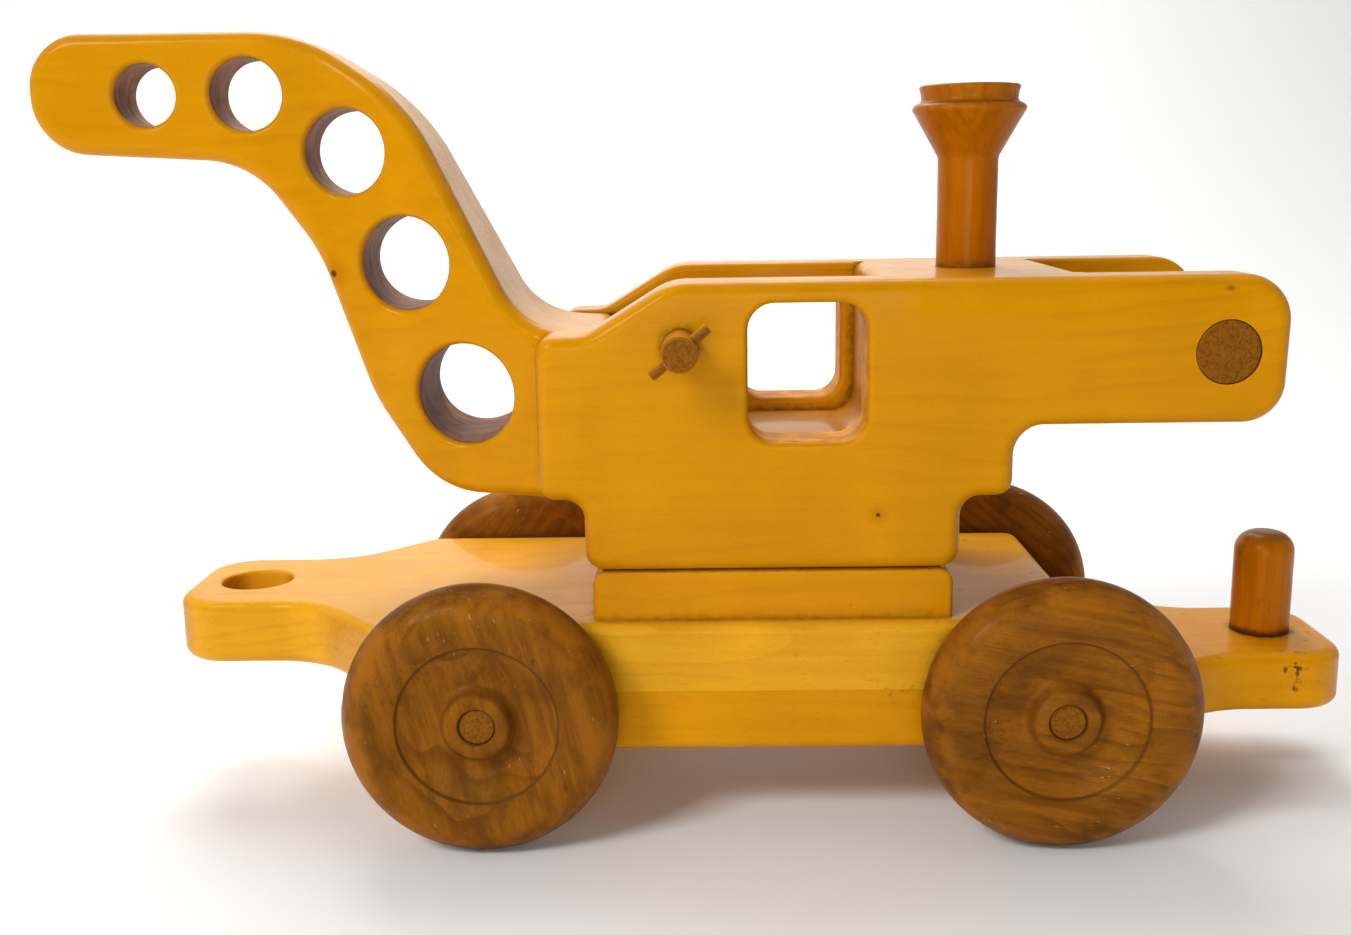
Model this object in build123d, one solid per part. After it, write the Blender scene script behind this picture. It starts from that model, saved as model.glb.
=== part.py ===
from build123d import *
from math import atan2, copysign, cos, sin
import os

# A wooden toy crane car: a slewing cab and boom on a four-wheeled railway chassis.
# Millimetres, +Z up, the wheels on Z = 0, the boom toward -X. Every X below is measured
# from the slew axis; the last step moves the whole crane so that its origin is under the
# centre of its bounding box.

# ---- fits and edges
glue = 0.05            # radial gap of a glued dowel
running = 0.075        # radial gap of a turning dowel
slide_gap = 0.3        # between faces that turn past each other
edge = 3.2             # hand-rounded edges of the chassis boards
cab_edge = 4.2         # outer edges of the cab's side plates
boom_edge = 4.4        # long edges of the boom
inner_edge = 2.4       # cab plates' inner edges where they stand free
soft = 1.5             # lightly broken edges

# ---- wheels and axles
wheel_d = 82.6
wheel_t = 19.0
wheelbase = 172.2
wheel_gap = 1.8        # chassis side to wheel
axle_d = 11.1
axle_recess = 1.9      # axle end behind the wheel's outer face
crown_r = 33.0         # where the wheel's face stands out most
ring_r = 24.4          # turned step in the wheel's face
ring_sink = 1.5        # face at the step, behind the crown
ring_step = 0.8
dish_depth = 5.2       # beside the hub boss
dish_r = 13.4
hub_foot_r = 11.4
hub_r = 8.8
hub_sink = 0.8         # hub face behind the crown

# ---- chassis
chassis_w = 111.0
under_t = 19.2
deck_t = 21.0
under_z = 25.6         # height of the underframe's lower face
board_x = -1.2         # boards' centre from the slew axis
square_end = 98.6      # boards' centre to either board's square end
tongue_end = 191.0     # boards' centre to either tongue's tip
tongue_w = 55.0
flare_start = 119.0    # where the board leaves its full width
flare_end = 144.0      # where it would meet the tongue's side
hitch_x = 170.0
hitch_hole_d = 23.0
tongue_round = 16.0    # plan corners of the tongue's tip
tongue_edge = 4.0      # its free long edges
peg_d = 19.0
peg_tenon_d = 16.0
peg_h = 27.8           # straight part above the tongue
peg_round = 6.4        # rounding of its top

# ---- turntable block
block_x = 1.8          # its centre from the slew axis
block_l = 109.2
block_w = 100.0
block_h = 15.6
block_corner = 5.0

# ---- cab
plate_t = 19.2
cab_w = 105.8
foot_front = 54.8
foot_rear = 57.8
foot_h = 21.8
body_front = 68.2
body_rear = 73.2
tail_end = 152.6
tail_z = 43.0          # tail's lower face above the cab's foot
front_h = 71.2         # top of the low front above the cab's foot
cab_h = 86.5
slope_front = 53.0
slope_rear = 28.0
window_x = 12.0
window_z = 59.6        # window centre above the cab's foot
window_w = 35.0
window_h = 41.0
window_r = 8.0
window_rim = 1.9        # rounded rim of the window
floor_h = 34.6         # cavity floor above the cab's foot
stack_front = 34.2     # front face of the raised part of the block
stack_rear = 95.5
seat_rear = 46.0       # rear end of the boom, ahead of the slew axis
crossbar_d = 19.0
crossbar_x = 133.8
crossbar_z = 64.2      # above the cab's foot

# ---- chimney
chimney_x = 66.6
chimney_d = 19.0
chimney_shaft = 35.0
chimney_bell = 14.4    # height of the cone
bell_d = 35.8
chimney_neck_d = 30.2
chimney_rim_d = 31.8
chimney_crown = 7.4    # from the cone's widest edge to the top
chimney_tenon = 22.0

# ---- boom
boom_t = 21.0
boom_top = 244.5
boom_tip = 229.2
hole_1 = (-192.2, 225.6, 9.6)      # x, z and radius of each hole, growing toward the cab
hole_2 = (-160.4, 225.4, 11.2)
hole_3 = (-129.6, 207.3, 13.2)
hole_4 = (-111.3, 172.9, 14.5)
hole_5 = (-93.0, 132.3, 15.7)
boom_sink = 3.4        # boom's lower face below the plates' front step
flare_x = 138.0        # where the boom starts to widen toward the cab
rim = 2.1              # rounded rim of each hole

# ---- winch
winch_x = -25.2
winch_z = 67.9         # above the cab's foot
winch_d = 10.4
winch_out = 20.4       # length outside each plate
handle_d = 3.2
handle_l = 21.4
handle_in = 7.0        # cross pin behind the end of the winch bar
handle_tilt = 40.0

# ---- slew pivot and its fastening
pivot_d = 19.0
pivot_in = 24.0        # glued length in the cab
well_d = 34.0
well_h = 6.0
washer_d = 30.0
washer_t = 1.6
screw_d = 4.2
screw_l = 30.0
head_d = 9.0
head_h = 3.0

# ---- heights and positions that follow from the sizes
wheel_r = wheel_d / 2
axle_x = wheelbase / 2
half_w = chassis_w / 2
deck_z = under_z + under_t
deck_top = deck_z + deck_t
block_top = deck_top + block_h
cab_z = block_top + slide_gap
cab_top = cab_z + cab_h
half_cab = cab_w / 2
inner = half_cab - plate_t
wheel_in = half_w + wheel_gap
axle_half = wheel_in + wheel_t - axle_recess
well_z = under_z + well_h


def outline(*corners):
    """A closed face from (x, y, corner radius) corners."""
    face = make_face(Polyline(*[(x, y) for x, y, r in corners], close=True))
    for x, y, r in corners:
        if r > 0:
            face = fillet(face.vertices().sort_by_distance((x, y, 0))[0], r)
    return face


def across(face, y0, y1):
    """Extrude an X-Z outline from y0 to y1."""
    return extrude(Pos(0, y1, 0) * (Plane.XZ * face), amount=y1 - y0)


def upward(face, z0, z1):
    """Extrude an X-Y outline from z0 to z1."""
    return extrude(Pos(0, 0, z0) * face, amount=z1 - z0)


def bar_y(x, z, d, y0, y1):
    """A round bar along Y."""
    return Pos(x, (y0 + y1) / 2, z) * Rot(90, 0, 0) * Cylinder(d / 2, y1 - y0)


def bar_z(x, y, d, z0, z1):
    """A round bar along Z."""
    return Pos(x, y, (z0 + z1) / 2) * Cylinder(d / 2, z1 - z0)


def at_z(solid, z):
    """The edges that lie flat at height z."""
    return solid.edges().filter_by_position(Axis.Z, z - 0.01, z + 0.01)


def at_y(solid, y):
    """The edges that lie flat in the plane at y."""
    return solid.edges().filter_by_position(Axis.Y, y - 0.01, y + 0.01)


def eased(start, end, level):
    """An arc from start to end that leaves start along X if level, otherwise along Y."""
    along, off = end[0] - start[0], end[1] - start[1]
    if not level:
        along, off = off, along
    radius = (along ** 2 + off ** 2) / (2 * abs(off))
    half = atan2(abs(along), radius - abs(off)) / 2
    step = copysign(radius * sin(half), along)
    rise = copysign(radius * (1 - cos(half)), off)
    if not level:
        step, rise = rise, step
    return ThreePointArc(start, (start[0] + step, start[1] + rise), end)


# ---- chassis boards: one outline, turned round for the other board
hole_x = board_x - hitch_x
peg_x = board_x + hitch_x
board = outline(
    (square_end, -half_w, 6), (square_end, half_w, 6), (-flare_start, half_w, 9),
    (-flare_end, tongue_w / 2, 30), (-tongue_end, tongue_w / 2, tongue_round),
    (-tongue_end, -tongue_w / 2, tongue_round), (-flare_end, -tongue_w / 2, 30), (-flare_start, -half_w, 9))

deck = Pos(board_x, 0, 0) * upward(board, deck_z, deck_top)
deck = fillet(at_z(deck, deck_top), edge)
bearing = deck & Pos(0, 0, deck_z) * Box(2 * square_end + 5, 2 * chassis_w, 2 * tongue_edge)
deck = fillet(at_z(deck, deck_z).filter_by_position(Axis.X, -tongue_end - 5, -square_end - 5),
              tongue_edge) + bearing
deck -= bar_z(hole_x, 0, hitch_hole_d, 0, deck_top + 10)
for z in (deck_z, deck_top):
    ring = at_z(deck, z).filter_by(GeomType.CIRCLE)
    deck = fillet(ring.sort_by_distance((hole_x, 0, z))[0], soft)
deck -= bar_z(0, 0, pivot_d + 2 * running, 0, deck_top + 10)
for side in (-1, 1):
    deck -= bar_y(side * axle_x, wheel_r, axle_d + 2 * running, -chassis_w, chassis_w)

underframe = Pos(board_x, 0, 0) * upward(Rot(0, 0, 180) * board, under_z, deck_z)
underframe = fillet(at_z(underframe, under_z), edge)
bearing = underframe & Pos(0, 0, deck_z) * Box(2 * square_end + 5, 2 * chassis_w, 2 * tongue_edge)
underframe = fillet(at_z(underframe, deck_z).filter_by_position(Axis.X, square_end + 5, tongue_end + 5),
                    tongue_edge) + bearing
underframe -= bar_z(peg_x, 0, peg_tenon_d + 2 * glue, 0, deck_z + 10)
underframe -= bar_z(0, 0, pivot_d + 2 * running, 0, deck_z + 10)
underframe -= bar_z(0, 0, well_d, 0, well_z)
for side in (-1, 1):
    underframe -= bar_y(side * axle_x, wheel_r, axle_d + 2 * running, -chassis_w, chassis_w)

# ---- turntable block under the cab
half_l = block_l / 2
turntable_block = across(Pos(block_x, 0) * outline(
    (-half_l, deck_top, 0), (half_l, deck_top, 0), (half_l, block_top, block_corner),
    (-half_l, block_top, block_corner)), -block_w / 2, block_w / 2)
for y in (-block_w / 2, block_w / 2):
    rims = at_y(turntable_block, y).filter_by_position(Axis.Z, deck_top + 1, block_top + 1)
    turntable_block = fillet(rims, soft)
turntable_block -= bar_z(0, 0, pivot_d + 2 * running, 0, block_top + 10)

# ---- hitch peg: a dowel with a rounded top, and a tenon in the underframe's tongue
hitch_peg = bar_z(peg_x, 0, peg_d, deck_z, deck_z + peg_h + peg_round)
hitch_peg = fillet(at_z(hitch_peg, deck_z + peg_h + peg_round), peg_round)
hitch_peg += bar_z(peg_x, 0, peg_tenon_d, under_z, deck_z)

# ---- axles and wheels
front_axle = bar_y(-axle_x, wheel_r, axle_d, -axle_half, axle_half)
rear_axle = bar_y(axle_x, wheel_r, axle_d, -axle_half, axle_half)
front_axle = chamfer(front_axle.edges().filter_by(GeomType.CIRCLE), 0.5)
rear_axle = chamfer(rear_axle.edges().filter_by(GeomType.CIRCLE), 0.5)

bore_r = axle_d / 2 + glue
back_r = wheel_r - wheel_t / 2
hub_y = wheel_t - hub_sink
low_y = wheel_t - dish_depth
ring_y = wheel_t - ring_sink
step_y = ring_y - ring_step
wheel_face = make_face(Curve() + [
    Polyline((bore_r, 0), (back_r, 0)),
    eased((wheel_r, wheel_t / 2), (back_r, 0), False),
    eased((wheel_r, wheel_t / 2), (crown_r, wheel_t), False),
    eased((crown_r, wheel_t), (ring_r, ring_y), True),
    Polyline((ring_r, ring_y), (ring_r - 0.6, step_y)),
    ThreePointArc((ring_r - 0.6, step_y), ((ring_r + dish_r) / 2, (step_y + low_y) / 2 - 0.35),
                  (dish_r, low_y)),
    Polyline((dish_r, low_y), (hub_foot_r, low_y + 0.4), (hub_r + 0.6, hub_y - 0.6),
             (hub_r, hub_y), (bore_r, hub_y), (bore_r, 0))])
wheel = revolve(wheel_face, axis=Axis.Y)
left_wheel = Pos(0, wheel_in, wheel_r) * wheel
right_wheel = Pos(0, -wheel_in, wheel_r) * Rot(0, 0, 180) * wheel

# ---- cab side plates
foot_top = cab_z + foot_h
tail_low = cab_z + tail_z
front_top = cab_z + front_h
plate_face = outline(
    (-foot_front, cab_z, 6), (foot_rear, cab_z, 6), (foot_rear, foot_top, 6),
    (body_rear, foot_top, 5), (body_rear, tail_low, 9), (tail_end - 1, tail_low, 12),
    (tail_end, cab_top, 14), (-slope_rear, cab_top, 18), (-slope_front, front_top, 14),
    (-body_front, front_top, 6), (-body_front, foot_top, 5), (-foot_front, foot_top, 6))
window = Pos(window_x, cab_z + window_z) * RectangleRounded(window_w, window_h, window_r)
winch_hole = Pos(winch_x, cab_z + winch_z) * Circle(winch_d / 2 + running)
crossbar_hole = Pos(crossbar_x, cab_z + crossbar_z) * Circle(crossbar_d / 2 + glue)

left_plate = across(plate_face, inner, half_cab)
left_plate = fillet(at_y(left_plate, half_cab), cab_edge)
square = left_plate & Pos((stack_front + stack_rear) / 2, inner, cab_top) * Box(
    stack_rear - stack_front, plate_t, 40)
top_edges = at_y(left_plate, inner).filter_by_position(Axis.Z, front_top - 0.5, cab_top + 1)
left_plate = fillet(top_edges.filter_by_position(Axis.X, -body_front + 7, tail_end + 1), inner_edge)
left_plate += square
opening = across(window, inner - 1, half_cab + 1)
left_plate -= opening
for y in (inner, half_cab):
    rims = at_y(left_plate, y).filter_by_position(Axis.X, window_x - window_w / 2 - 1,
                                                  window_x + window_w / 2 + 1)
    rims = rims.filter_by_position(Axis.Z, cab_z + window_z - window_h / 2 - 1,
                                   cab_z + window_z + window_h / 2 + 1)
    left_plate = fillet(rims, window_rim)
left_plate -= across(winch_hole, inner - 1, half_cab + 1)
left_plate -= across(crossbar_hole, inner - 1, half_cab + 1)
right_plate = mirror(left_plate, about=Plane.XZ)

# ---- centre block between the plates, carrying the chimney
boom_floor = foot_top - boom_sink
seat_z = cab_z + floor_h
centre_block = across(outline(
    (-foot_front, cab_z, 4), (foot_rear, cab_z, 4), (foot_rear, foot_top, 6),
    (body_rear, foot_top, 5), (body_rear, tail_low, 5), (stack_rear, tail_low, 5),
    (stack_rear, cab_top, 3), (stack_front, cab_top, 4), (stack_front, seat_z, 8),
    (-seat_rear, seat_z, 0), (-seat_rear, boom_floor, 0), (-foot_front, boom_floor, 0)),
    -inner, inner)
centre_block -= bar_z(0, 0, pivot_d + 2 * glue, cab_z - 1, cab_z + pivot_in + 0.5)
centre_block -= bar_z(chimney_x, 0, chimney_d + 2 * glue, cab_top - chimney_tenon - 0.5, cab_top + 1)

rear_crossbar = bar_y(crossbar_x, cab_z + crossbar_z, crossbar_d, -half_cab, half_cab)
rear_crossbar = chamfer(rear_crossbar.edges().filter_by(GeomType.CIRCLE), 0.6)

# ---- chimney, turned in one piece
shaft_r = chimney_d / 2
bell_z = cab_top + chimney_shaft
lip_z = bell_z + chimney_bell
top_z = lip_z + chimney_crown
bell_r = bell_d / 2
chimney_face = make_face(Polyline(
    (0, cab_top - chimney_tenon), (shaft_r, cab_top - chimney_tenon), (shaft_r, bell_z),
    (bell_r - 0.5, lip_z - 0.9), (bell_r, lip_z), (bell_r - 0.2, lip_z + 0.9),
    (bell_r - 0.9, lip_z + 1.6), (chimney_neck_d / 2 + 0.3, lip_z + 2.6),
    (chimney_neck_d / 2, lip_z + 3.2), (chimney_neck_d / 2 + 0.3, lip_z + 5.4),
    (chimney_rim_d / 2, top_z - 0.7), (chimney_rim_d / 2 - 0.7, top_z), (0, top_z), close=True))
chimney = Pos(chimney_x, 0, 0) * revolve(Plane.XZ * chimney_face, axis=Axis.Z)

# ---- boom: a side outline cut by a plan outline that widens to the gap between the plates
side = outline(
    (-boom_tip, boom_top, 17), (-boom_tip, boom_top - 35.9, 17.5), (-161, boom_top - 40, 30),
    (-140.6, 176, 60), (-124.2, 130, 50), (-103.7, boom_floor, 27),
    (-seat_rear, boom_floor, 0), (-seat_rear, front_top - 1.5, 8), (-74.1, front_top, 24),
    (-109, 222.2, 64), (-143.3, boom_top, 56))
plan_half = boom_t / 2
plan = outline(
    (-boom_tip - 5, -plan_half, 0), (-flare_x, -plan_half, 30), (-body_front, -inner, 8),
    (-seat_rear + 5, -inner, 0), (-seat_rear + 5, inner, 0), (-body_front, inner, 8),
    (-flare_x, plan_half, 30), (-boom_tip - 5, plan_half, 0))
boom = across(side, -inner, inner) & upward(plan, 90, boom_top + 10)
long_edges = []
for line in boom.edges():
    span = line.bounding_box()
    if abs(line.center().Y) > 5 and not (span.size.X < 0.05 and span.size.Z > 20):
        if span.max.X < -body_front + 3:
            long_edges.append(line)
boom = fillet(long_edges, boom_edge)
for x, z, r in (hole_1, hole_2, hole_3, hole_4, hole_5):
    boom -= bar_y(x, z, 2 * r, -inner - 1, inner + 1)
    rims = []
    for line in boom.edges():
        reach = [((p.X - x) ** 2 + (p.Z - z) ** 2) ** 0.5 for p in (line @ 0, line @ 0.37, line @ 1)]
        if max(reach) < r + 0.02 and line.geom_type != GeomType.LINE:
            rims.append(line)
    boom = fillet(rims, rim)

# ---- winch bar through both plates, with a cross pin at each end
winch_half = half_cab + winch_out
winch_h = cab_z + winch_z
handle_y = winch_half - handle_in
winch_axle = bar_y(winch_x, winch_h, winch_d, -winch_half, winch_half)
winch_axle = chamfer(winch_axle.edges().filter_by(GeomType.CIRCLE), 0.6)
pins = []
for y in (-handle_y, handle_y):
    tilt = Pos(winch_x, y, winch_h) * Rot(0, 90 - handle_tilt, 0)
    winch_axle -= tilt * Cylinder(handle_d / 2 + glue, winch_d * 2)
    pin = tilt * Cylinder(handle_d / 2, handle_l)
    pins.append(fillet(pin.edges().filter_by(GeomType.CIRCLE), 0.5))
winch_handle_right, winch_handle_left = pins

# ---- slew pivot glued in the cab, held under the chassis by a washer and a screw
pivot_low = well_z - slide_gap
slew_pivot = bar_z(0, 0, pivot_d, pivot_low, cab_z + pivot_in)
slew_pivot -= bar_z(0, 0, screw_d + 2 * glue, pivot_low - 1, pivot_low + screw_l)
washer_low = pivot_low - washer_t
retaining_washer = bar_z(0, 0, washer_d, washer_low, pivot_low)
retaining_washer -= bar_z(0, 0, screw_d + 2 * glue, washer_low - 1, pivot_low + 1)
retaining_screw = bar_z(0, 0, screw_d, washer_low - 0.5, pivot_low + screw_l - 1)
head = bar_z(0, 0, head_d, washer_low - head_h, washer_low)
head = fillet(at_z(head, washer_low - head_h), 1.2)
slot = Pos(0, 0, washer_low - head_h) * Box(head_d + 2, 1.2, 2.4)
retaining_screw += head
retaining_screw -= slot

# ---- one file per piece
nodes = {
    "deck": deck, "underframe": underframe, "turntable_block": turntable_block,
    "hitch_peg": hitch_peg, "front_axle": front_axle, "rear_axle": rear_axle,
    "wheel_front_left": Pos(-axle_x, 0, 0) * left_wheel,
    "wheel_front_right": Pos(-axle_x, 0, 0) * right_wheel,
    "wheel_rear_left": Pos(axle_x, 0, 0) * left_wheel,
    "wheel_rear_right": Pos(axle_x, 0, 0) * right_wheel,
    "side_plate_left": left_plate, "side_plate_right": right_plate,
    "centre_block": centre_block, "rear_crossbar": rear_crossbar, "chimney": chimney,
    "boom": boom, "winch_axle": winch_axle, "winch_handle_left": winch_handle_left,
    "winch_handle_right": winch_handle_right, "slew_pivot": slew_pivot,
    "retaining_washer": retaining_washer, "retaining_screw": retaining_screw,
}
to_origin = Pos((boom_tip - tongue_end - board_x) / 2, 0, 0)
os.makedirs("parts", exist_ok=True)
for name, piece in nodes.items():
    export_step(to_origin * piece, f"parts/{name}.step")
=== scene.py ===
# %% [markdown]
# # A wooden toy crane car
# The crane is a slewing cab with a pierced boom on a four-wheeled railway car, all in wood:
# golden lacquered maple boards, brown turned wheels and orange-brown dowels.
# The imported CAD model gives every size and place. This lesson dresses it: it turns the round
# pieces on a lathe made in code, grows wood on every surface, and lights it like a studio.

# %% Load the frame
import math
import random

import bmesh
import bpy
from mathutils import Matrix, Vector, noise


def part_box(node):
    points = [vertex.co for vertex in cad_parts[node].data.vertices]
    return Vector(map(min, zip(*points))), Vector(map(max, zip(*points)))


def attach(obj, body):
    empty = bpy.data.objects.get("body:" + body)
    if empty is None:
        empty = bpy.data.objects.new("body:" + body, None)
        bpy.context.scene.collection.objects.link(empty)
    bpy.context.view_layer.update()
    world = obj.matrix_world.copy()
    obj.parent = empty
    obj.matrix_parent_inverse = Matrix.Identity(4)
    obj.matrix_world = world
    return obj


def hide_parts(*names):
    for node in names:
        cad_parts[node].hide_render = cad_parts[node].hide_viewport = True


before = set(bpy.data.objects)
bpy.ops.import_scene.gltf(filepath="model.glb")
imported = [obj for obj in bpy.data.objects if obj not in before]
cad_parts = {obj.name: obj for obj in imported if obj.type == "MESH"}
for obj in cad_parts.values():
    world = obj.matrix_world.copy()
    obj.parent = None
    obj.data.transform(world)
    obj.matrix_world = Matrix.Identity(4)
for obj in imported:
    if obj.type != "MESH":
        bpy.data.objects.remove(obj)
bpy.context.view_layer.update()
scene = bpy.context.scene
MM = 0.001
print("CAD nodes:", len(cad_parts))

# %% [markdown]
# ## The camera
# The crane is seen from its right side, a little from above, by a camera half a metre away.
# A camera could be aimed with a Track To constraint, but a plain matrix built from three
# angles is easier to repeat exactly: yaw turns it left, pitch tips it down, roll leans it.

# %% Place the camera
CAMERA_AT = Vector((0.0012, -0.4694, 0.1991))
YAW, PITCH, ROLL = (math.radians(a) for a in (-1.18, 11.58, -0.91))
LENS_MM = 38.25

ahead = Vector((math.sin(YAW) * math.cos(PITCH), math.cos(YAW) * math.cos(PITCH), -math.sin(PITCH)))
level = Vector((math.cos(YAW), -math.sin(YAW), 0))
above = level.cross(ahead)
right = math.cos(ROLL) * level + math.sin(ROLL) * above
up = math.cos(ROLL) * above - math.sin(ROLL) * level

camera = bpy.data.objects.new("camera", bpy.data.cameras.new("camera"))
camera.data.lens = LENS_MM
camera.data.sensor_width = 36.0
camera.data.clip_start = 0.01
turn = Matrix((right, up, -ahead)).transposed().to_4x4()
camera.matrix_world = Matrix.Translation(CAMERA_AT) @ turn
scene.collection.objects.link(camera)
scene.camera = camera
print("camera lens:", camera.data.lens, "mm")

# %% [markdown]
# ## Reading the wood
# Every finish here is wood, so one set of small helpers is worth having. A shader is a graph:
# each helper adds one kind of node and returns its output, so a recipe reads like a sum.
# Distances are in millimetres from here on, because grain is easier to think of that way.

# %% Helpers that add shader nodes
def put(tree, value, socket):
    """Plug an output into a socket, or set the socket to a plain value."""
    if isinstance(value, bpy.types.NodeSocket):
        tree.links.new(value, socket)
    else:
        socket.default_value = value


def sum_of(tree, how, a, b=0.0, c=0.0, clamp=False):
    """One Math node."""
    node = tree.nodes.new("ShaderNodeMath")
    node.operation = how
    node.use_clamp = clamp
    for socket, value in zip(node.inputs, (a, b, c)):
        put(tree, value, socket)
    return node.outputs[0]


def between(tree, value, low, high, out_low=0.0, out_high=1.0):
    """A smooth step of value from low to high."""
    node = tree.nodes.new("ShaderNodeMapRange")
    node.interpolation_type = "SMOOTHSTEP"
    for name, v in (("Value", value), ("From Min", low), ("From Max", high),
                    ("To Min", out_low), ("To Max", out_high)):
        put(tree, v, node.inputs[name])
    return node.outputs[0]


def stretched(tree, place, along, across, grain):
    """Coordinates scaled by along in the grain's direction and by across in the others."""
    node = tree.nodes.new("ShaderNodeVectorMath")
    node.operation = "MULTIPLY"
    tree.links.new(place, node.inputs[0])
    node.inputs[1].default_value = [along if axis == grain else across for axis in range(3)]
    return node.outputs[0]


def speckle(tree, place, detail=3.0, rough=0.55, twist=0.0):
    """A noise of that place, from 0 to 1."""
    node = tree.nodes.new("ShaderNodeTexNoise")
    tree.links.new(place, node.inputs["Vector"])
    node.inputs["Scale"].default_value = 1.0
    node.inputs["Detail"].default_value = detail
    node.inputs["Roughness"].default_value = rough
    node.inputs["Distortion"].default_value = twist
    return node.outputs["Fac"]


def tint(tree, share, colour_a, colour_b):
    """Blend two colours."""
    node = tree.nodes.new("ShaderNodeMix")
    node.data_type = "RGBA"
    put(tree, share, node.inputs["Factor"])
    for socket, value in ((node.inputs[6], colour_a), (node.inputs[7], colour_b)):
        if not isinstance(value, bpy.types.NodeSocket):
            value = (*value, 1.0)
        put(tree, value, socket)
    return node.outputs[2]


HELPERS = (put, sum_of, between, stretched, speckle, tint)
print("shader helpers:", ", ".join(helper.__name__ for helper in HELPERS))

# %% [markdown]
# ## What makes it look like wood
# Real boards show several things at once: thin dark growth lines that wander along the board,
# fine fibre streaks, soft cloudy figure, tiny flecks, a few dark pits, brown end grain where the
# fibres are cut across, and dirt where pieces meet, which here is painted shade as well as dirt.
# Each is one noise at its own scale. An image would be quicker, but noise has no seams and stays
# sharp on every face of a solid block.

# %% Find a place in the block
GRAIN_X, GRAIN_Y, GRAIN_Z = 0, 1, 2
# dark brown for real stains, pits and grime, also used for painted shade in corners and in the
# wheel ring
DIRT_AND_SHADE = (0.085, 0.028, 0.005)


def block_place(tree, shift, turn=0.0):
    """Object coordinates in millimetres, moved by shift and turned about Y, and the normal too."""
    coords = tree.nodes.new("ShaderNodeTexCoord")
    outputs = []
    for source, kind, scale, move in (("Object", "POINT", 1000.0, shift),
                                      ("Normal", "VECTOR", 1.0, (0, 0, 0))):
        node = tree.nodes.new("ShaderNodeMapping")
        node.vector_type = kind
        node.inputs["Rotation"].default_value = (0, math.radians(turn), 0)
        node.inputs["Scale"].default_value = (scale, scale, scale)
        if kind == "POINT":
            node.inputs["Location"].default_value = move
        tree.links.new(coords.outputs[source], node.inputs["Vector"])
        outputs.append(node.outputs["Vector"])
    return outputs[0], outputs[1], coords


def split(tree, vector):
    """The x, y and z of a vector."""
    parts = tree.nodes.new("ShaderNodeSeparateXYZ")
    tree.links.new(vector, parts.inputs[0])
    return parts.outputs


print("grain axes:", GRAIN_X, GRAIN_Y, GRAIN_Z)

# %% [markdown]
# ## Growth lines
# A board sawn from a tree shows the edges of its yearly rings as thin wandering lines. A Wave
# texture could draw them, but its waves are too even. Here the height in the board is bent by
# slow noise and cut into steps, so that each line has one soft side and one sharp side.

# %% Growth lines
def growth_lines(tree, place, grain, spacing, tilt):
    """Thin dark edges of a slowly wandering saw wave across the board, fading in and out."""
    xyz = split(tree, place)
    first, second = [axis for axis in (2, 1, 0) if axis != grain]
    wander = speckle(tree, stretched(tree, place, 0.007, 0.02, grain), 2.0, 0.45, 0.5)
    ripple = speckle(tree, stretched(tree, place, 0.05, 0.15, grain), 2.0, 0.5)
    height = sum_of(tree, "MULTIPLY_ADD", xyz[second], tilt, xyz[first])
    height = sum_of(tree, "MULTIPLY_ADD", wander, 52.0, height)
    height = sum_of(tree, "MULTIPLY_ADD", ripple, 1.4, height)
    ring = sum_of(tree, "FRACT", sum_of(tree, "DIVIDE", height, spacing))
    line = sum_of(tree, "MULTIPLY", between(tree, ring, 0.55, 0.975),
                  sum_of(tree, "SUBTRACT", 1.0, between(tree, ring, 0.975, 1.0)))
    fade = between(tree, speckle(tree, stretched(tree, place, 0.015, 0.05, grain), 1.0), 0.4, 0.62)
    return sum_of(tree, "MULTIPLY", line, fade)


print("growth lines: a bent saw wave")

# %% [markdown]
# ## Stains and knots
# A toy that is played with gathers dark specks, and some boards have a small knot. Specks come
# from a fine noise let through by a broad one, so that they sit in clumps. A knot is one known
# point, so it is drawn by its distance.

# %% Stains and knots
def stain(tree, colour, place, grain, amount, region=None):
    """Irregular dark specks in clumps, all over or only where region is 1."""
    clump = speckle(tree, stretched(tree, place, 0.07, 0.09, grain), 3.0, 0.6)
    clump = between(tree, clump, 0.52, 0.7)
    spots = speckle(tree, stretched(tree, place, 0.33, 0.5, grain), 4.0, 0.65)
    spots = between(tree, spots, 0.56, 0.66)
    share = sum_of(tree, "MULTIPLY", sum_of(tree, "MULTIPLY", clump, spots), amount)
    if region is not None:
        share = sum_of(tree, "MULTIPLY", share, region)
    return tint(tree, sum_of(tree, "MINIMUM", share, 0.9), colour, DIRT_AND_SHADE)


def knot(tree, colour, coords, at, radius):
    """A small dark knot with a warm halo at a point of the object, in millimetres."""
    gap = tree.nodes.new("ShaderNodeVectorMath")
    gap.operation = "DISTANCE"
    tree.links.new(coords.outputs["Object"], gap.inputs[0])
    gap.inputs[1].default_value = [value * MM for value in at]
    reach = sum_of(tree, "MULTIPLY", gap.outputs["Value"], 1 / MM)
    halo = sum_of(tree, "SUBTRACT", 1.0, between(tree, reach, radius, radius * 4.5))
    core = sum_of(tree, "SUBTRACT", 1.0, between(tree, reach, radius * 0.4, radius))
    colour = tint(tree, sum_of(tree, "MULTIPLY", halo, 0.45), colour, (0.40, 0.11, 0.002))
    return tint(tree, sum_of(tree, "MULTIPLY", core, 0.92), colour, (0.03, 0.008, 0.002))


print("marks: stain, knot")
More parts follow.
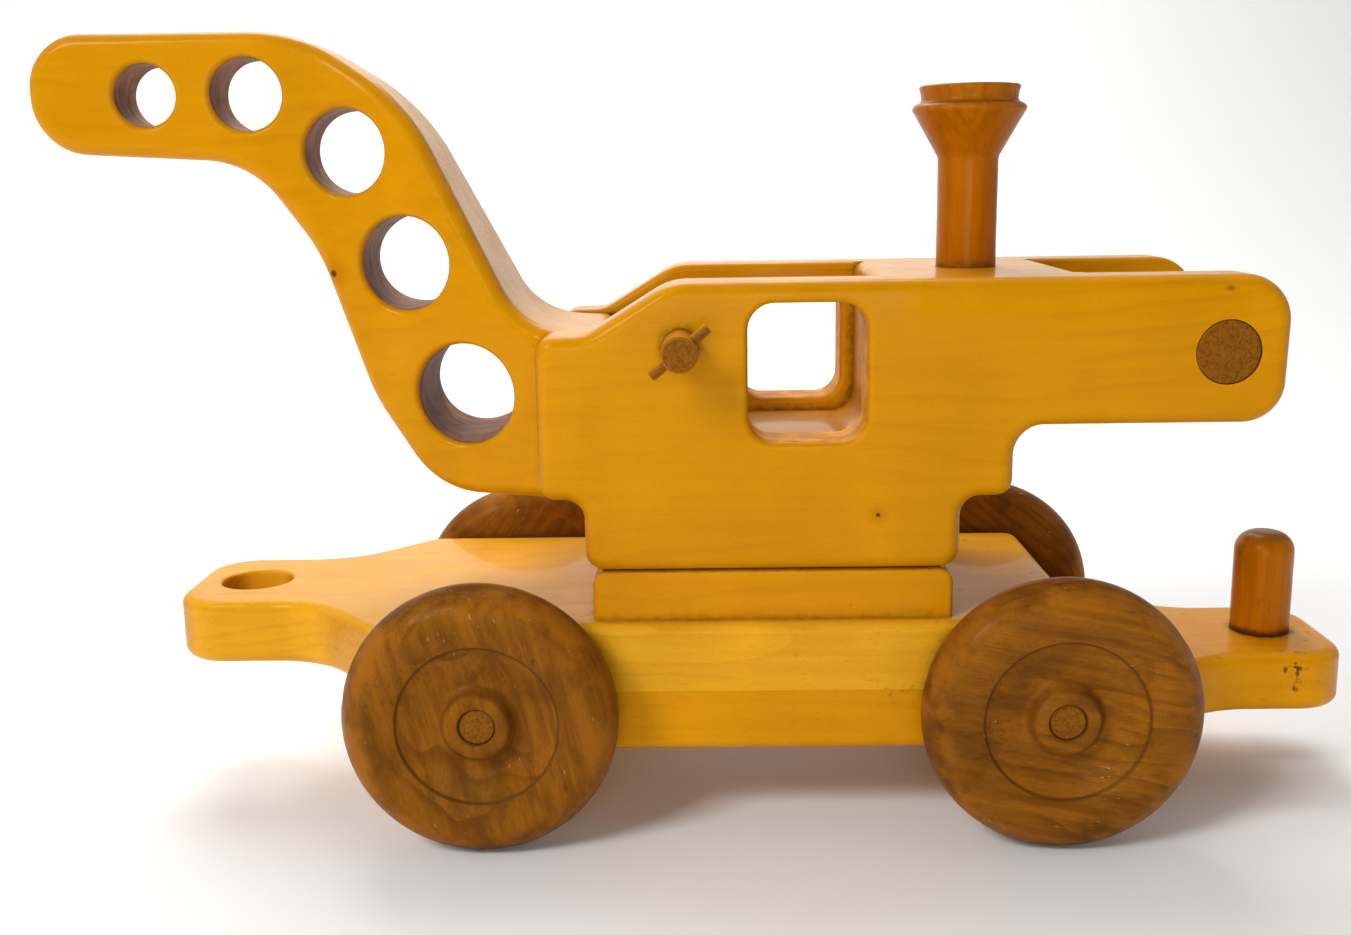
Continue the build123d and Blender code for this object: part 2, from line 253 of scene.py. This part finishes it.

# %% [markdown]
# ## Worn wheels
# The wheels are handled and rolled the most. They have dark handling stains, a paler band where
# the crown rubs, short scratches, and a dark band in the turned ring that is painted shade with
# some dirt. Distance from the hub places the band and the ring, and slanted noise makes the
# scratches.

# %% Wear on a wheel
def wear_and_ring_shade(tree, colour, place, coords, grain, centre):
    """A rolled wheel: dark handling stains, a paler rubbed rim, short pale scratches, and painted
    shade with dirt in the turned ring.
    """
    patch = speckle(tree, stretched(tree, place, 0.035, 0.05, grain), 4.0, 0.62, 0.6)
    colour = tint(tree, between(tree, patch, 0.46, 0.72, 0.0, 0.75), colour, (0.085, 0.026, 0.004))
    gap = tree.nodes.new("ShaderNodeVectorMath")
    gap.operation = "DISTANCE"
    flat = tree.nodes.new("ShaderNodeVectorMath")
    flat.operation = "MULTIPLY"
    flat.inputs[1].default_value = (1, 0, 1)
    tree.links.new(coords.outputs["Object"], flat.inputs[0])
    tree.links.new(flat.outputs[0], gap.inputs[0])
    gap.inputs[1].default_value = (centre[0], 0, centre[1])
    reach = sum_of(tree, "MULTIPLY", gap.outputs["Value"], 1 / MM)
    rub = speckle(tree, stretched(tree, place, 0.06, 0.09, grain), 3.0, 0.6)
    rubbed = sum_of(tree, "MULTIPLY", between(tree, reach, 30.0, 38.0),
                    between(tree, rub, 0.42, 0.66))
    colour = tint(tree, sum_of(tree, "MULTIPLY", rubbed, 0.6), colour, (0.37, 0.125, 0.008))
    slant = tree.nodes.new("ShaderNodeMapping")
    slant.inputs["Rotation"].default_value = (0, 0.9, 0)
    slant.inputs["Scale"].default_value = (0.9, 0.9, 0.16)
    tree.links.new(place, slant.inputs["Vector"])
    scratch = between(tree, speckle(tree, slant.outputs["Vector"], 3.0, 0.6), 0.67, 0.71)
    gate = between(tree, speckle(tree, stretched(tree, place, 0.05, 0.05, grain), 1.0), 0.52, 0.6)
    colour = tint(tree, sum_of(tree, "MULTIPLY", sum_of(tree, "MULTIPLY", scratch, gate), 0.6),
                  colour, (0.52, 0.30, 0.12))
    # painted shade with some dirt: a dark band in the groove of the turned ring
    ring = sum_of(tree, "MULTIPLY", between(tree, reach, 23.3, 23.9),
                  sum_of(tree, "SUBTRACT", 1.0, between(tree, reach, 24.3, 24.7)))
    return tint(tree, sum_of(tree, "MULTIPLY", ring, 0.6), colour, DIRT_AND_SHADE)


print("marks: wheel wear")

# %% [markdown]
# ## The whole recipe
# One function mixes all of it, because every finish on the crane is the same kind of thing with
# other colours and scales. Painted shade with some grime is found with the Ambient Occlusion node,
# which darkens only where surfaces come close together.

# %% The wood recipe
def wood(name, grain, light, line, end, spacing=9.0, lines=0.16, fibre=0.2, cloud=0.16,
         flecks=0.25, pits=0.6, corner_shade_and_grime=0.85, gloss=0.36, coat=0.35, end_share=0.8, bump=0.10,
         shift=(0, 0, 0), tilt=0.35, turn=0.0, stains=0.0, stain_from=None, knots=(), wear_and_shade_hub=None):
    """A wood whose fibres run along the grain axis. Colours are linear."""
    material = bpy.data.materials.new(name)
    material.use_nodes = True
    tree = material.node_tree
    shader = tree.nodes["Principled BSDF"]
    place, facing, coords = block_place(tree, shift, turn)

    ring_line = growth_lines(tree, place, grain, spacing, tilt)
    fine = speckle(tree, stretched(tree, place, 0.08, 2.2, grain), 4.0, 0.65)
    broad = speckle(tree, stretched(tree, place, 0.012, 0.35, grain), 2.0, 0.5)
    figure = speckle(tree, stretched(tree, place, 0.035, 0.018, grain), 2.0, 0.5, 0.4)
    dust = speckle(tree, stretched(tree, place, 1.1, 1.6, grain), 2.0, 0.7)
    dash = between(tree, speckle(tree, stretched(tree, place, 0.42, 3.2, grain), 1.0), 0.66, 0.75)

    colour = tint(tree, sum_of(tree, "MULTIPLY", ring_line, lines), light, line)
    streak = sum_of(tree, "ADD", between(tree, fine, 0.35, 0.75), between(tree, broad, 0.38, 0.66))
    colour = tint(tree, sum_of(tree, "MULTIPLY", streak, fibre * 0.5), colour, line)
    shade = sum_of(tree, "MULTIPLY_ADD", sum_of(tree, "SUBTRACT", figure, 0.5), cloud * 2, 1.0)
    shade = sum_of(tree, "MULTIPLY_ADD", sum_of(tree, "SUBTRACT", dust, 0.5), 0.16, shade)
    tone = tree.nodes.new("ShaderNodeVectorMath")
    tone.operation = "SCALE"
    tree.links.new(colour, tone.inputs[0])
    tree.links.new(shade, tone.inputs["Scale"])
    colour = tint(tree, sum_of(tree, "MULTIPLY", dash, flecks), tone.outputs[0], line)

    # end grain: where the surface faces along the fibres
    faces = split(tree, facing)
    cut_across = between(tree, sum_of(tree, "ABSOLUTE", faces[grain]), 0.45, 0.95)
    dots = speckle(tree, stretched(tree, place, 1.3, 1.3, grain), 3.0, 0.7)
    end_colour = tint(tree, between(tree, dots, 0.40, 0.66), end, [c * 0.5 for c in end])
    colour = tint(tree, sum_of(tree, "MULTIPLY", cut_across, end_share), colour, end_colour)

    # pits: a few small dark spots
    cells = tree.nodes.new("ShaderNodeTexVoronoi")
    tree.links.new(stretched(tree, place, 0.02, 0.035, grain), cells.inputs["Vector"])
    cells.inputs["Scale"].default_value = 1.0
    pit = sum_of(tree, "SUBTRACT", 1.0, between(tree, cells.outputs["Distance"], 0.012, 0.04))
    colour = tint(tree, sum_of(tree, "MULTIPLY", pit, pits), colour, DIRT_AND_SHADE)
    if stains:
        region = None
        if stain_from is not None:
            region = between(tree, split(tree, coords.outputs["Object"])[0], *stain_from)
        colour = stain(tree, colour, place, grain, stains, region)
    for at, radius in knots:
        colour = knot(tree, colour, coords, at, radius)
    if wear_and_shade_hub is not None:
        colour = wear_and_ring_shade(tree, colour, place, coords, grain, wear_and_shade_hub)

    # painted shade and grime: darker in the corners where two pieces meet, broken up by noise
    corner = tree.nodes.new("ShaderNodeAmbientOcclusion")
    corner.samples = 6
    corner.inputs["Distance"].default_value = 0.005
    patchy = speckle(tree, stretched(tree, place, 0.3, 0.3, grain), 4.0, 0.65)
    painted_shade_and_grime = sum_of(tree, "SUBTRACT", sum_of(tree, "MULTIPLY_ADD", patchy, 0.9, 0.34),
                  corner.outputs["AO"])
    painted_shade_and_grime = sum_of(tree, "MULTIPLY", between(tree, painted_shade_and_grime, 0.0, 0.32), corner_shade_and_grime)
    colour = tint(tree, painted_shade_and_grime, colour, DIRT_AND_SHADE)
    tree.links.new(colour, shader.inputs["Base Color"])

    wear = speckle(tree, stretched(tree, place, 0.06, 0.06, grain), 4.0, 0.6)
    rough = sum_of(tree, "MULTIPLY_ADD", between(tree, wear, 0.35, 0.75), 0.14, gloss)
    rough = sum_of(tree, "MULTIPLY_ADD", painted_shade_and_grime, 0.25, rough, clamp=True)
    tree.links.new(rough, shader.inputs["Roughness"])
    shader.inputs["IOR"].default_value = 1.30
    shader.inputs["Specular Tint"].default_value = (1.0, 0.6, 0.06, 1.0)
    shader.inputs["Coat Weight"].default_value = coat
    shader.inputs["Coat Roughness"].default_value = 0.06
    shader.inputs["Coat IOR"].default_value = 1.2
    shader.inputs["Coat Tint"].default_value = (1.0, 0.86, 0.55, 1.0)

    relief = tree.nodes.new("ShaderNodeBump")
    relief.inputs["Strength"].default_value = bump
    relief.inputs["Distance"].default_value = 0.0004
    waves = speckle(tree, stretched(tree, place, 0.035, 0.05, grain), 2.0, 0.5)
    lift = sum_of(tree, "MULTIPLY_ADD", waves, 4.0, fine)
    lift = sum_of(tree, "SUBTRACT", lift, pit)
    tree.links.new(lift, relief.inputs["Height"])
    tree.links.new(relief.outputs["Normal"], shader.inputs["Normal"])
    return material


print("recipe:", wood.__name__)

# %% [markdown]
# ## The colours
# The boards share one gold. The deck board is paler, the turned pieces are amber, and each
# wheel is cut from another part of the tree, so each has its own turn and shift of the grain.

# %% Mix the finishes
GOLD = (0.585, 0.258, 0.001)
GOLD_LINE = (0.40, 0.118, 0.001)
GOLD_END = (0.55, 0.20, 0.003)
maple_plate = wood("maple_plate", GRAIN_X, GOLD, GOLD_LINE, GOLD_END,
                   knots=[((52.7, -52.9, 98.6), 0.9)])
maple_board = wood("maple_board", GRAIN_X, (0.74, 0.375, 0.016), GOLD_LINE, GOLD_END,
                   spacing=7.0, shift=(40, 0, 17), flecks=0.4, corner_shade_and_grime=0.5, stains=1.1,
                   stain_from=(-0.02, 0.12))
maple_under = wood("maple_under", GRAIN_X, (0.66, 0.288, 0.002), GOLD_LINE, GOLD_END,
                   spacing=7.0, shift=(90, 30, 5), flecks=0.4, stains=1.6, stain_from=(0.0, 0.16))
maple_block = wood("maple_block", GRAIN_X, (0.62, 0.268, 0.002), GOLD_LINE, GOLD_END,
                   spacing=5.0, shift=(10, 60, 41), corner_shade_and_grime=0.45, stains=0.4)
maple_boom = wood("maple_boom", GRAIN_X, GOLD, GOLD_LINE, (0.62, 0.30, 0.05), spacing=12.0,
                  shift=(130, 20, 60), knots=[((-116, -10.8, 169.5), 1.7)])
WHEEL_TURNS = {"wheel_front_right": 14, "wheel_rear_right": 78,
               "wheel_front_left": -35, "wheel_rear_left": 50}


def middle(node):
    """The centre of a node's box."""
    low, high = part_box(node)
    return (Vector(low) + Vector(high)) / 2


wheel_woods = {}
for place_in_row, (name, turn) in enumerate(WHEEL_TURNS.items()):
    hub = middle(name)
    wheel_woods[name] = wood(
        "brown_" + name, GRAIN_Z, (0.27, 0.092, 0.007), (0.085, 0.025, 0.003),
        (0.17, 0.052, 0.006), spacing=5.0, lines=0.55, fibre=0.75, cloud=0.3, flecks=0.5,
        corner_shade_and_grime=0.6, gloss=0.46, coat=0.12, bump=0.25, end_share=0.5, turn=turn, stains=0.8,
        shift=(61 * place_in_row, 35 * place_in_row, 20), wear_and_shade_hub=(hub.x, hub.z))
amber_dowel = wood("amber_dowel", GRAIN_Z, (0.42, 0.125, 0.001), (0.20, 0.050, 0.001),
                   (0.20, 0.07, 0.006), spacing=3.0, lines=0.3, fibre=0.5, stains=0.6)
cross_dowel = wood("cross_dowel", GRAIN_Y, (0.50, 0.19, 0.004), (0.25, 0.07, 0.002),
                   (0.24, 0.082, 0.006), spacing=3.0, fibre=0.5, coat=0.3, end_share=1.0)


print("wheel woods:", len(wheel_woods))

# %% [markdown]
# ## Cut walls
# A drill or router scorches the wood it cuts, so the walls of the boom's holes and of the windows
# are darker and rougher than the boards. They have no coat, which would reflect the room.

# %% The cut walls of holes and window
def routed(name, light, dark):
    """A drilled or routed wall: scorched streaks that run round the opening."""
    material = bpy.data.materials.new(name)
    material.use_nodes = True
    tree = material.node_tree
    shader = tree.nodes["Principled BSDF"]
    place = block_place(tree, (0, 0, 0))[0]
    streak = speckle(tree, stretched(tree, place, 1.1, 0.12, GRAIN_Y), 4.0, 0.7)
    patch = speckle(tree, stretched(tree, place, 0.12, 0.14, GRAIN_Y), 3.0, 0.6)
    share = sum_of(tree, "MULTIPLY_ADD", between(tree, patch, 0.3, 0.7), 0.45,
                   sum_of(tree, "MULTIPLY", between(tree, streak, 0.34, 0.66), 0.6), clamp=True)
    tree.links.new(tint(tree, share, light, dark), shader.inputs["Base Color"])
    shader.inputs["Roughness"].default_value = 0.55
    shader.inputs["IOR"].default_value = 1.22
    shader.inputs["Specular Tint"].default_value = (1.0, 0.75, 0.6, 1.0)
    relief = tree.nodes.new("ShaderNodeBump")
    relief.inputs["Strength"].default_value = 0.5
    relief.inputs["Distance"].default_value = 0.0004
    tree.links.new(streak, relief.inputs["Height"])
    tree.links.new(relief.outputs["Normal"], shader.inputs["Normal"])
    return material


scorched = routed("scorched_bore", (0.46, 0.19, 0.060), (0.09, 0.026, 0.009))
routed_rim = routed("routed_window", (0.85, 0.38, 0.020), (0.28, 0.085, 0.006))
print("cut walls:", scorched.name, routed_rim.name)

# %% [markdown]
# ## The steel
# The washer and screw under the car are plain zinc plated steel. A metal needs little more than an
# uneven roughness.

# %% Zinc plated steel
steel = bpy.data.materials.new("zinc_steel")
steel.use_nodes = True
brushed = steel.node_tree.nodes["Principled BSDF"]
brushed.inputs["Metallic"].default_value = 1.0
steel_place = block_place(steel.node_tree, (0, 0, 0))[0]
smudge = stretched(steel.node_tree, steel_place, 0.9, 0.9, GRAIN_Z)
smudge = speckle(steel.node_tree, smudge, 4.0, 0.6)
steel.node_tree.links.new(sum_of(steel.node_tree, "MULTIPLY_ADD", smudge, 0.3, 0.2),
                          brushed.inputs["Roughness"])
print("metal:", steel.name)

# %% [markdown]
# ## Dressing the frame
# Each CAD node keeps its shape and gets a finish. The walls of holes and windows are found by
# their place and by facing away from Y, and get a second finish on the same node.

# %% Dress the frame
FINISH = {
    "deck": maple_board, "underframe": maple_under, "turntable_block": maple_block,
    "side_plate_left": maple_plate, "side_plate_right": maple_plate,
    "centre_block": maple_block, "boom": maple_boom, "chimney": amber_dowel,
    "hitch_peg": amber_dowel, "slew_pivot": amber_dowel, "rear_crossbar": cross_dowel,
    "front_axle": cross_dowel, "rear_axle": cross_dowel, "winch_axle": cross_dowel,
    "winch_handle_left": cross_dowel, "winch_handle_right": cross_dowel,
    "retaining_washer": steel, "retaining_screw": steel,
}
for name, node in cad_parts.items():
    node.data.materials.clear()
    node.data.materials.append(FINISH.get(name) or wheel_woods[name])


def give_walls(node, material, is_wall):
    """Give the faces that is_wall accepts a second finish. Centres are in millimetres."""
    node.data.materials.append(material)
    count = 0
    for face in node.data.polygons:
        if abs(face.normal.y) < 0.35 and is_wall(face.center / MM):
            face.material_index = 1
            count += 1
    print(node.name, "cut faces:", count)


BORES = ((-172.5, 225.6, 9.6), (-140.7, 225.4, 11.2), (-109.9, 207.3, 13.2),
         (-91.6, 172.9, 14.5), (-73.3, 132.3, 15.7))


def in_bore(centre):
    return any(math.hypot(centre.x - x, centre.z - z) < r + 0.3 for x, z, r in BORES)


plate_low, plate_high = (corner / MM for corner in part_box("side_plate_right"))
WINDOW = (31.7, plate_low.z + 59.6, 17.8, 20.8)


def in_window(centre):
    x, z, half_w, half_h = WINDOW
    return abs(centre.x - x) < half_w and abs(centre.z - z) < half_h


give_walls(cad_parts["boom"], scorched, in_bore)
give_walls(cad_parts["side_plate_left"], routed_rim, in_window)
give_walls(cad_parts["side_plate_right"], routed_rim, in_window)
print("finishes:", len(bpy.data.materials))

# %% [markdown]
# ## On the lathe
# The wheels, the chimney and the hitch peg are turned pieces. A Screw modifier could spin their
# outlines, but the real ones are dented and rubbed, so the outline is spun in mesh code and each
# point is then free to move: a slow wobble of a tenth of a millimetre, and a few small dents.

# %% A lathe in mesh code
def eased(start, end, level, steps=10):
    """Points on an arc from start to end that leaves start level, or upright if level is False."""
    along, off = end[0] - start[0], end[1] - start[1]
    if not level:
        along, off = off, along
    radius = (along ** 2 + off ** 2) / (2 * abs(off))
    whole = math.atan2(abs(along), radius - abs(off))
    points = []
    for step in range(steps + 1):
        angle = whole * step / steps
        a = math.copysign(radius * math.sin(angle), along)
        b = math.copysign(radius * (1 - math.cos(angle)), off)
        points.append((start[0] + (a if level else b), start[1] + (b if level else a)))
    return points


def run(start, end, steps):
    """Points spaced evenly on a straight run, without its start."""
    across, up_by = end[0] - start[0], end[1] - start[1]
    return [(start[0] + across * k / steps, start[1] + up_by * k / steps)
            for k in range(1, steps + 1)]


def lathe(name, outline, foot, outward, material, closed, steps=180, wobble=0.07, dents=()):
    """Spin an outline of (radius, height) millimetres round the line from foot along outward."""
    outward = Vector(outward)
    side = Vector((1, 0, 0))
    other = outward.cross(side)
    work = bmesh.new()
    rings = []
    for radius, height in outline:
        if radius == 0:
            rings.append([work.verts.new(foot + outward * height * MM)])
            continue
        ring = []
        for step in range(steps):
            angle = 2 * math.pi * step / steps
            round_about = side * math.cos(angle) + other * math.sin(angle)
            point = round_about * radius + outward * height
            slow = noise.noise(Vector((point.x, point.y, point.z)) * 0.05 + foot * 400) * wobble
            push = slow if radius > 6 else 0.0
            for dent_angle, dent_radius, dent_height, size, depth in dents:
                near = side * math.cos(dent_angle) + other * math.sin(dent_angle)
                gap = (point - near * dent_radius - outward * dent_height).length
                push -= depth * math.exp(-(gap / size) ** 2)
            spot = round_about * (radius + push * 0.5) + outward * (height + push * 0.5)
            ring.append(work.verts.new(foot + spot * MM))
        rings.append(ring)
    pairs = list(zip(rings, rings[1:]))
    if closed:
        pairs.append((rings[-1], rings[0]))
    for low, high in pairs:
        for step in range(steps):
            corners = [low[step % len(low)], low[(step + 1) % len(low)],
                       high[(step + 1) % len(high)], high[step % len(high)]]
            work.faces.new(list(dict.fromkeys(corners)))
    bmesh.ops.recalc_face_normals(work, faces=work.faces)
    mesh = bpy.data.meshes.new(name)
    work.to_mesh(mesh)
    work.free()
    for face in mesh.polygons:
        face.use_smooth = True
    mesh.materials.append(material)
    piece = bpy.data.objects.new(name, mesh)
    scene.collection.objects.link(piece)
    print(name, "points:", len(mesh.vertices))
    return piece


print("lathe: ready")

# %% [markdown]
# ## Four wheels
# Each wheel is one outline: a rounded rim, a crown, a turned ring, a dish and a hub boss. The back
# is flat. The dents differ from wheel to wheel, from a seeded random number.

# %% Turn the wheels
RIM, TREAD, BACK, CROWN, RING, BORE = 41.3, 9.5, 31.8, 33.0, 24.4, 5.6
wheel_outline = [(BORE, 0.0)] + run((BORE, 0.0), (BACK, 0.0), 6)[:-1]
wheel_outline += eased((RIM, TREAD), (BACK, 0.0), False, 12)[::-1]
wheel_outline += eased((RIM, TREAD), (CROWN, 19.0), False, 14)[1:]
wheel_outline += eased((CROWN, 19.0), (RING, 17.5), True, 10)[1:]
wheel_outline += [(24.1, 17.3), (23.95, 16.85), (23.6, 16.7)]
for step in range(1, 12):
    share = step / 11
    wheel_outline.append((23.6 - 10.2 * share, 16.7 - 2.9 * share - 1.3 * share * (1 - share)))
wheel_outline += [(12.3, 13.75), (11.5, 14.1), (10.7, 15.6), (9.8, 17.3), (9.3, 17.9), (8.8, 18.15)]
wheel_outline += [(7.4, 18.2), (6.0, 18.15), (BORE, 17.9)]

for number, name in enumerate(WHEEL_TURNS):
    chance = random.Random(number)
    low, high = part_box(name)
    hub = middle(name)
    is_right = hub.y < 0
    foot = Vector((hub.x, high[1] if is_right else low[1], hub.z))
    dents = []
    for _ in range(16):
        angle, lean = chance.uniform(0, 2 * math.pi), chance.uniform(0.1, 1.3)
        dents.append((angle, CROWN + 8.3 * math.cos(lean), TREAD + 9.5 * math.sin(lean),
                      chance.uniform(1.0, 2.4), chance.uniform(0.15, 0.4)))
    wheel = lathe("turned_" + name, wheel_outline, foot, (0, -1 if is_right else 1, 0),
                  wheel_woods[name], closed=True, dents=dents)
    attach(wheel, "front_wheelset" if "front" in name else "rear_wheelset")
    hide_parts(name)

# %% [markdown]
# ## Chimney and peg
# The chimney is a shaft that opens into a cone under a thin lip. The peg is a dowel with a domed
# top on a narrower tenon. Both are spun from the bottom up.

# %% Turn the chimney and the hitch peg
low, high = (Vector(corner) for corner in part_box("chimney"))
height = (high.z - low.z) / MM
lip, cone = height - 7.4, height - 21.8
chimney_outline = [(0, 0.0), (9.0, 0.0), (9.5, 0.6)] + run((9.5, 0.6), (9.5, cone - 1.2), 16)
chimney_outline += [(9.6, cone - 0.5), (9.9, cone + 0.2)]
chimney_outline += run((9.9, cone + 0.2), (17.3, lip - 1.2), 8)
chimney_outline += [(17.75, lip - 0.5), (17.9, lip), (17.75, lip + 0.7), (17.2, lip + 1.3),
                    (16.2, lip + 1.8), (15.5, lip + 2.2), (15.15, lip + 2.9), (15.2, lip + 4.0),
                    (15.45, lip + 5.4), (15.8, lip + 6.3), (15.75, lip + 6.9), (15.2, lip + 7.3),
                    (14.2, height), (7.0, height), (0, height)]
foot = Vector((middle("chimney").x, 0, low.z))
chimney = lathe("turned_chimney", chimney_outline, foot, (0, 0, 1), amber_dowel, closed=False,
                wobble=0.12, dents=[(4.9, 17.6, lip, 1.4, 0.3), (3.9, 17.6, lip, 1.0, 0.3),
                                    (5.6, 15.6, height, 1.2, 0.4)])
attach(chimney, "cab")
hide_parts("chimney")

low, high = (Vector(corner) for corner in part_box("hitch_peg"))
height = (high.z - low.z) / MM
peg_outline = [(0, 0.0), (7.95, 0.0), (8.0, 19.2), (9.45, 19.2)]
peg_outline += run((9.45, 19.2), (9.5, height - 6.4), 10)
peg_outline += eased((9.5, height - 6.4), (3.1, height), False, 8)[1:] + [(0, height)]
foot = Vector((middle("hitch_peg").x, 0, low.z))
peg = lathe("turned_peg", peg_outline, foot, (0, 0, 1), amber_dowel, closed=False, wobble=0.12,
            dents=[(4.6, 8.0, height - 1.5, 2.0, 0.35), (5.4, 9.0, height - 5, 1.5, 0.3)])
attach(peg, "chassis")
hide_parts("hitch_peg")

# %% [markdown]
# ## Floor and light
# The crane stands on a plain pale sheet that curves up behind it. A soft lamp in front, above and
# to the left gives the long highlights on the rounded edges. A larger, weaker one in front fills
# the faces. A third, behind and above, lights the sheet and the tops. The world is brighter behind
# than in front, so that the faces stay rich in colour.

# %% Stage
def sweep():
    """A pale sheet that runs under the crane and curves up behind it."""
    half, front, back, rise, radius = 3.0, -1.6, 1.4, 2.4, 0.9
    profile = [(front, 0.0)]
    for step in range(17):
        angle = math.pi / 2 * step / 16
        profile.append((back - radius + radius * math.sin(angle),
                        radius - radius * math.cos(angle)))
    profile.append((back, rise))
    verts = [(x, y, z) for y, z in profile for x in (-half, half)]
    faces = [(2 * i, 2 * i + 1, 2 * i + 3, 2 * i + 2) for i in range(len(profile) - 1)]
    mesh = bpy.data.meshes.new("sweep")
    mesh.from_pydata(verts, [], faces)
    for polygon in mesh.polygons:
        polygon.use_smooth = True
    obj = bpy.data.objects.new("sweep", mesh)
    scene.collection.objects.link(obj)
    paper = bpy.data.materials.new("paper")
    paper.use_nodes = True
    shader = paper.node_tree.nodes["Principled BSDF"]
    shader.inputs["Base Color"].default_value = (0.90, 0.90, 0.89, 1)
    shader.inputs["Roughness"].default_value = 0.9
    mesh.materials.append(paper)


def lamp(name, at, toward, size, watts, colour=(1, 1, 1)):
    """A soft square lamp."""
    data = bpy.data.lights.new(name, "AREA")
    data.size = size
    data.energy = watts
    data.color = colour
    obj = bpy.data.objects.new(name, data)
    obj.location = at
    obj.rotation_euler = (Vector(toward) - Vector(at)).to_track_quat("-Z", "Y").to_euler()
    scene.collection.objects.link(obj)


sweep()
lamp("key", (-0.9, -1.0, 1.1), (0, 0, 0.1), 0.5, 15)
lamp("fill", (-0.1, -1.6, 0.35), (0, 0, 0.1), 0.8, 8)
lamp("back", (-0.2, 0.9, 1.4), (0, 0.3, 0.1), 1.0, 20)
world = bpy.data.worlds.new("studio")
world.use_nodes = True
sky = world.node_tree
compass = sky.nodes.new("ShaderNodeTexCoord")
away = split(sky, compass.outputs["Generated"])[1]
sky.nodes["Background"].inputs["Color"].default_value = (1, 1, 1, 1)
sky.links.new(between(sky, away, -0.5, 0.4, 0.10, 0.75), sky.nodes["Background"].inputs["Strength"])
scene.world = world
scene.view_settings.view_transform = "Standard"
print("lamps: 3")

# %% [markdown]
# ## Finish
# The dressed crane must be no bigger than the CAD model.

# %% Finish
print("crane dressed")
